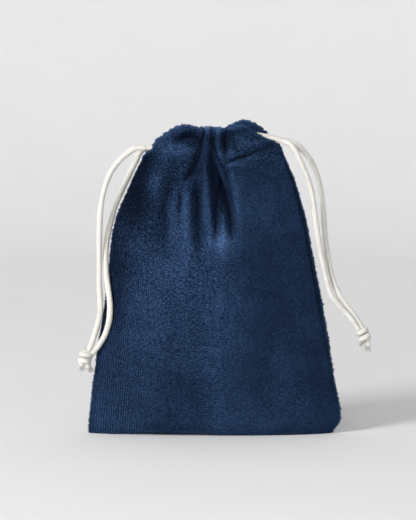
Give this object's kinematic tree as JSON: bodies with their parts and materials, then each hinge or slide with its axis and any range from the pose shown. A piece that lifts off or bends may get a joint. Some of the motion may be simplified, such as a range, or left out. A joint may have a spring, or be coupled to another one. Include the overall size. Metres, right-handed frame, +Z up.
{
  "type": "drawstring gift pouch",
  "caption": "Small upright velvet pouch with a gathered casing and two opposed satin drawcords that close its mouth, for wrapping and presenting a small gift.",
  "frame": {"origin": "centre of the base, on the surface that the pouch stands on", "axes": "+Z up through the middle of the mouth, +X to the right when the front is seen, and the front faces -Y"},
  "size_m": [0.1345, 0.0288, 0.1429],
  "materials": {
    "velvet": "navy blue cotton velvet with a short pile",
    "sewing_thread": "dark navy sewing thread",
    "satin_cord": "off-white satin round cord"
  },
  "bodies": {
    "root": {"front_panel": "velvet", "back_panel": "velvet", "front_hem_stitching": "sewing_thread", "back_hem_stitching": "sewing_thread", "left_side_seam": "sewing_thread", "right_side_seam": "sewing_thread", "bottom_seam": "sewing_thread"},
    "left_cord": {"left_drawcord_loop": "satin_cord", "left_front_strand": "satin_cord", "left_back_strand": "satin_cord", "left_knot": "satin_cord", "left_tails": "satin_cord"},
    "right_cord": {"right_drawcord_loop": "satin_cord", "right_front_strand": "satin_cord", "right_back_strand": "satin_cord", "right_knot": "satin_cord", "right_tails": "satin_cord"}
  },
  "joints": [
    {"name": "left_cord_pull", "type": "slide", "parent": "root", "child": "left_cord", "axis": [-1, 0, 0], "range_m": [0, 0.016], "deforming": ["front_panel", "back_panel", "front_hem_stitching", "back_hem_stitching"]},
    {"name": "right_cord_pull", "type": "slide", "parent": "root", "child": "right_cord", "axis": [1, 0, 0], "range_m": [0, 0.016], "deforming": ["front_panel", "back_panel", "front_hem_stitching", "back_hem_stitching"]}
  ]
}
